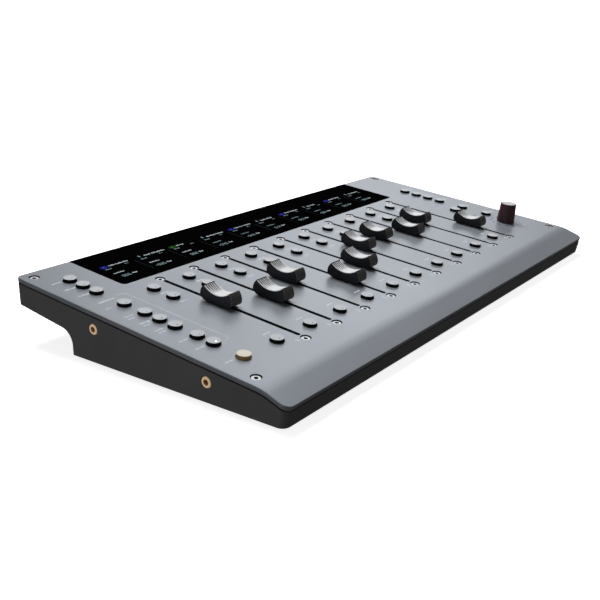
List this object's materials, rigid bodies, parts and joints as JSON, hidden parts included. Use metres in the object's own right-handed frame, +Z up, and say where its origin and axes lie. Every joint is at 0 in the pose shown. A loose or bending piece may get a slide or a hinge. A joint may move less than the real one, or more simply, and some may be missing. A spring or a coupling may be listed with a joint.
{
  "type": "mixing console",
  "caption": "Low tilted desktop mixing console with motorised long-throw faders, round keys, a rotary knob and a black display strip.",
  "frame": {"origin": "on the table, under the middle of the console's outline", "axes": "+X to the right of the person using it, +Y to the console's rear, +Z up; the panel rises 6.1 degrees towards +Y"},
  "size_m": [0.43, 0.2206, 0.0427],
  "materials": {
    "panel": "satin grey metallic paint",
    "chassis": "fine charcoal powder coat",
    "display_glass": "black glass with lit read-outs",
    "display_module": "matt black frame",
    "circuit_board": "green solder mask",
    "fader_mechanism": "zinc plated",
    "encoder": "zinc plated",
    "connectors": "moulded black",
    "inserts": "turned",
    "feet": "matt",
    "fader_caps": "matt black sides, satin silver scoop",
    "keys": "satin grey tops, black sides",
    "knob": "soft-touch near-black, silver top"
  },
  "bodies": {
    "case": {"top_panel": "panel", "base_chassis": "chassis", "display_glass": "display_glass", "display_module": "display_module", "main_circuit_board": "circuit_board", "fader_bank": "fader_mechanism", "knob_encoder": "encoder", "rear_connector_block": "connectors", "side_inserts_left": "inserts", "side_inserts_right": "inserts", "front_foot_strip": "feet", "rear_foot_strip": "feet"},
    "fader_cap_01": {"fader_cap_01": "fader_caps"},
    "fader_cap_02": {"fader_cap_02": "fader_caps"},
    "fader_cap_03": {"fader_cap_03": "fader_caps"},
    "fader_cap_04": {"fader_cap_04": "fader_caps"},
    "fader_cap_05": {"fader_cap_05": "fader_caps"},
    "fader_cap_06": {"fader_cap_06": "fader_caps"},
    "fader_cap_07": {"fader_cap_07": "fader_caps"},
    "fader_cap_08": {"fader_cap_08": "fader_caps"},
    "fader_cap_09": {"fader_cap_09": "fader_caps"},
    "fader_cap_10": {"fader_cap_10": "fader_caps"},
    "volume_knob": {"volume_knob": "knob"},
    "upper_keys_01": {"upper_keys_01": "keys"},
    "upper_keys_02": {"upper_keys_02": "keys"},
    "upper_keys_03": {"upper_keys_03": "keys"},
    "upper_keys_04": {"upper_keys_04": "keys"},
    "upper_keys_05": {"upper_keys_05": "keys"},
    "upper_keys_06": {"upper_keys_06": "keys"},
    "upper_keys_07": {"upper_keys_07": "keys"},
    "upper_keys_08": {"upper_keys_08": "keys"},
    "upper_keys_09": {"upper_keys_09": "keys"},
    "upper_keys_10": {"upper_keys_10": "keys"},
    "lower_key_01": {"lower_key_01": "keys"},
    "lower_key_02": {"lower_key_02": "keys"},
    "lower_key_03": {"lower_key_03": "keys"},
    "lower_key_04": {"lower_key_04": "keys"},
    "lower_key_05": {"lower_key_05": "keys"},
    "lower_key_06": {"lower_key_06": "keys"},
    "lower_key_07": {"lower_key_07": "keys"},
    "lower_key_08": {"lower_key_08": "keys"},
    "lower_key_09": {"lower_key_09": "keys"},
    "lower_key_10": {"lower_key_10": "keys"},
    "left_key_01": {"left_key_01": "keys"},
    "left_key_02": {"left_key_02": "keys"},
    "left_key_03": {"left_key_03": "keys"},
    "left_key_04": {"left_key_04": "keys"},
    "left_key_05": {"left_key_05": "keys"},
    "left_key_06": {"left_key_06": "keys"},
    "left_key_07": {"left_key_07": "keys"},
    "left_key_08": {"left_key_08": "keys"},
    "left_key_09": {"left_key_09": "keys"},
    "left_key_10": {"left_key_10": "keys"},
    "right_key_01": {"right_key_01": "keys"},
    "right_key_02": {"right_key_02": "keys"},
    "right_key_03": {"right_key_03": "keys"},
    "right_key_04": {"right_key_04": "keys"},
    "right_key_05": {"right_key_05": "keys"},
    "right_key_06": {"right_key_06": "keys"},
    "right_key_07": {"right_key_07": "keys"}
  },
  "joints": [
    {"name": "fader_01_slide", "type": "slide", "parent": "case", "child": "fader_cap_01", "axis": [0, 0.9943, 0.1063], "range_m": [-0.0567, 0.0433]},
    {"name": "fader_02_slide", "type": "slide", "parent": "case", "child": "fader_cap_02", "axis": [0, 0.9943, 0.1063], "range_m": [-0.0403, 0.0597]},
    {"name": "fader_03_slide", "type": "slide", "parent": "case", "child": "fader_cap_03", "axis": [0, 0.9943, 0.1063], "range_m": [-0.0551, 0.0449]},
    {"name": "fader_04_slide", "type": "slide", "parent": "case", "child": "fader_cap_04", "axis": [0, 0.9943, 0.1063], "range_m": [-0.0264, 0.0736]},
    {"name": "fader_05_slide", "type": "slide", "parent": "case", "child": "fader_cap_05", "axis": [0, 0.9943, 0.1063], "range_m": [-0.0375, 0.0625]},
    {"name": "fader_06_slide", "type": "slide", "parent": "case", "child": "fader_cap_06", "axis": [0, 0.9943, 0.1063], "range_m": [-0.0592, 0.0408]},
    {"name": "fader_07_slide", "type": "slide", "parent": "case", "child": "fader_cap_07", "axis": [0, 0.9943, 0.1063], "range_m": [-0.0637, 0.0363]},
    {"name": "fader_08_slide", "type": "slide", "parent": "case", "child": "fader_cap_08", "axis": [0, 0.9943, 0.1063], "range_m": [-0.0527, 0.0473]},
    {"name": "fader_09_slide", "type": "slide", "parent": "case", "child": "fader_cap_09", "axis": [0, 0.9943, 0.1063], "range_m": [-0.0644, 0.0356]},
    {"name": "fader_10_slide", "type": "slide", "parent": "case", "child": "fader_cap_10", "axis": [0, 0.9943, 0.1063], "range_m": [-0.0284, 0.0716]},
    {"name": "volume_knob_turn", "type": "hinge", "parent": "case", "child": "volume_knob", "pos_m": [0.185, -0.04992, 0.02514], "axis": [0, -0.1063, 0.9943], "continuous": true},
    {"name": "upper_keys_01_press", "type": "slide", "parent": "case", "child": "upper_keys_01", "axis": [0, 0.1063, -0.9943], "range_m": [0, 0.0008], "stiffness_N_per_m": 300, "springref_m": -0.0005},
    {"name": "upper_keys_02_press", "type": "slide", "parent": "case", "child": "upper_keys_02", "axis": [0, 0.1063, -0.9943], "range_m": [0, 0.0008], "stiffness_N_per_m": 300, "springref_m": -0.0005},
    {"name": "upper_keys_03_press", "type": "slide", "parent": "case", "child": "upper_keys_03", "axis": [0, 0.1063, -0.9943], "range_m": [0, 0.0008], "stiffness_N_per_m": 300, "springref_m": -0.0005},
    {"name": "upper_keys_04_press", "type": "slide", "parent": "case", "child": "upper_keys_04", "axis": [0, 0.1063, -0.9943], "range_m": [0, 0.0008], "stiffness_N_per_m": 300, "springref_m": -0.0005},
    {"name": "upper_keys_05_press", "type": "slide", "parent": "case", "child": "upper_keys_05", "axis": [0, 0.1063, -0.9943], "range_m": [0, 0.0008], "stiffness_N_per_m": 300, "springref_m": -0.0005},
    {"name": "upper_keys_06_press", "type": "slide", "parent": "case", "child": "upper_keys_06", "axis": [0, 0.1063, -0.9943], "range_m": [0, 0.0008], "stiffness_N_per_m": 300, "springref_m": -0.0005},
    {"name": "upper_keys_07_press", "type": "slide", "parent": "case", "child": "upper_keys_07", "axis": [0, 0.1063, -0.9943], "range_m": [0, 0.0008], "stiffness_N_per_m": 300, "springref_m": -0.0005},
    {"name": "upper_keys_08_press", "type": "slide", "parent": "case", "child": "upper_keys_08", "axis": [0, 0.1063, -0.9943], "range_m": [0, 0.0008], "stiffness_N_per_m": 300, "springref_m": -0.0005},
    {"name": "upper_keys_09_press", "type": "slide", "parent": "case", "child": "upper_keys_09", "axis": [0, 0.1063, -0.9943], "range_m": [0, 0.0008], "stiffness_N_per_m": 300, "springref_m": -0.0005},
    {"name": "upper_keys_10_press", "type": "slide", "parent": "case", "child": "upper_keys_10", "axis": [0, 0.1063, -0.9943], "range_m": [0, 0.0008], "stiffness_N_per_m": 300, "springref_m": -0.0005},
    {"name": "lower_key_01_press", "type": "slide", "parent": "case", "child": "lower_key_01", "axis": [0, 0.1063, -0.9943], "range_m": [0, 0.0008], "stiffness_N_per_m": 300, "springref_m": -0.0005},
    {"name": "lower_key_02_press", "type": "slide", "parent": "case", "child": "lower_key_02", "axis": [0, 0.1063, -0.9943], "range_m": [0, 0.0008], "stiffness_N_per_m": 300, "springref_m": -0.0005},
    {"name": "lower_key_03_press", "type": "slide", "parent": "case", "child": "lower_key_03", "axis": [0, 0.1063, -0.9943], "range_m": [0, 0.0008], "stiffness_N_per_m": 300, "springref_m": -0.0005},
    {"name": "lower_key_04_press", "type": "slide", "parent": "case", "child": "lower_key_04", "axis": [0, 0.1063, -0.9943], "range_m": [0, 0.0008], "stiffness_N_per_m": 300, "springref_m": -0.0005},
    {"name": "lower_key_05_press", "type": "slide", "parent": "case", "child": "lower_key_05", "axis": [0, 0.1063, -0.9943], "range_m": [0, 0.0008], "stiffness_N_per_m": 300, "springref_m": -0.0005},
    {"name": "lower_key_06_press", "type": "slide", "parent": "case", "child": "lower_key_06", "axis": [0, 0.1063, -0.9943], "range_m": [0, 0.0008], "stiffness_N_per_m": 300, "springref_m": -0.0005},
    {"name": "lower_key_07_press", "type": "slide", "parent": "case", "child": "lower_key_07", "axis": [0, 0.1063, -0.9943], "range_m": [0, 0.0008], "stiffness_N_per_m": 300, "springref_m": -0.0005},
    {"name": "lower_key_08_press", "type": "slide", "parent": "case", "child": "lower_key_08", "axis": [0, 0.1063, -0.9943], "range_m": [0, 0.0008], "stiffness_N_per_m": 300, "springref_m": -0.0005},
    {"name": "lower_key_09_press", "type": "slide", "parent": "case", "child": "lower_key_09", "axis": [0, 0.1063, -0.9943], "range_m": [0, 0.0008], "stiffness_N_per_m": 300, "springref_m": -0.0005},
    {"name": "lower_key_10_press", "type": "slide", "parent": "case", "child": "lower_key_10", "axis": [0, 0.1063, -0.9943], "range_m": [0, 0.0008], "stiffness_N_per_m": 300, "springref_m": -0.0005},
    {"name": "left_key_01_press", "type": "slide", "parent": "case", "child": "left_key_01", "axis": [0, 0.1063, -0.9943], "range_m": [0, 0.0008], "stiffness_N_per_m": 300, "springref_m": -0.0005},
    {"name": "left_key_02_press", "type": "slide", "parent": "case", "child": "left_key_02", "axis": [0, 0.1063, -0.9943], "range_m": [0, 0.0008], "stiffness_N_per_m": 300, "springref_m": -0.0005},
    {"name": "left_key_03_press", "type": "slide", "parent": "case", "child": "left_key_03", "axis": [0, 0.1063, -0.9943], "range_m": [0, 0.0008], "stiffness_N_per_m": 300, "springref_m": -0.0005},
    {"name": "left_key_04_press", "type": "slide", "parent": "case", "child": "left_key_04", "axis": [0, 0.1063, -0.9943], "range_m": [0, 0.0008], "stiffness_N_per_m": 300, "springref_m": -0.0005},
    {"name": "left_key_05_press", "type": "slide", "parent": "case", "child": "left_key_05", "axis": [0, 0.1063, -0.9943], "range_m": [0, 0.0008], "stiffness_N_per_m": 300, "springref_m": -0.0005},
    {"name": "left_key_06_press", "type": "slide", "parent": "case", "child": "left_key_06", "axis": [0, 0.1063, -0.9943], "range_m": [0, 0.0008], "stiffness_N_per_m": 300, "springref_m": -0.0005},
    {"name": "left_key_07_press", "type": "slide", "parent": "case", "child": "left_key_07", "axis": [0, 0.1063, -0.9943], "range_m": [0, 0.0008], "stiffness_N_per_m": 300, "springref_m": -0.0005},
    {"name": "left_key_08_press", "type": "slide", "parent": "case", "child": "left_key_08", "axis": [0, 0.1063, -0.9943], "range_m": [0, 0.0008], "stiffness_N_per_m": 300, "springref_m": -0.0005},
    {"name": "left_key_09_press", "type": "slide", "parent": "case", "child": "left_key_09", "axis": [0, 0.1063, -0.9943], "range_m": [0, 0.0008], "stiffness_N_per_m": 300, "springref_m": -0.0005},
    {"name": "left_key_10_press", "type": "slide", "parent": "case", "child": "left_key_10", "axis": [0, 0.1063, -0.9943], "range_m": [0, 0.0008], "stiffness_N_per_m": 300, "springref_m": -0.0005},
    {"name": "right_key_01_press", "type": "slide", "parent": "case", "child": "right_key_01", "axis": [0, 0.1063, -0.9943], "range_m": [0, 0.0008], "stiffness_N_per_m": 300, "springref_m": -0.0005},
    {"name": "right_key_02_press", "type": "slide", "parent": "case", "child": "right_key_02", "axis": [0, 0.1063, -0.9943], "range_m": [0, 0.0008], "stiffness_N_per_m": 300, "springref_m": -0.0005},
    {"name": "right_key_03_press", "type": "slide", "parent": "case", "child": "right_key_03", "axis": [0, 0.1063, -0.9943], "range_m": [0, 0.0008], "stiffness_N_per_m": 300, "springref_m": -0.0005},
    {"name": "right_key_04_press", "type": "slide", "parent": "case", "child": "right_key_04", "axis": [0, 0.1063, -0.9943], "range_m": [0, 0.0008], "stiffness_N_per_m": 300, "springref_m": -0.0005},
    {"name": "right_key_05_press", "type": "slide", "parent": "case", "child": "right_key_05", "axis": [0, 0.1063, -0.9943], "range_m": [0, 0.0008], "stiffness_N_per_m": 300, "springref_m": -0.0005},
    {"name": "right_key_06_press", "type": "slide", "parent": "case", "child": "right_key_06", "axis": [0, 0.1063, -0.9943], "range_m": [0, 0.0008], "stiffness_N_per_m": 300, "springref_m": -0.0005},
    {"name": "right_key_07_press", "type": "slide", "parent": "case", "child": "right_key_07", "axis": [0, 0.1063, -0.9943], "range_m": [0, 0.0008], "stiffness_N_per_m": 300, "springref_m": -0.0005}
  ]
}
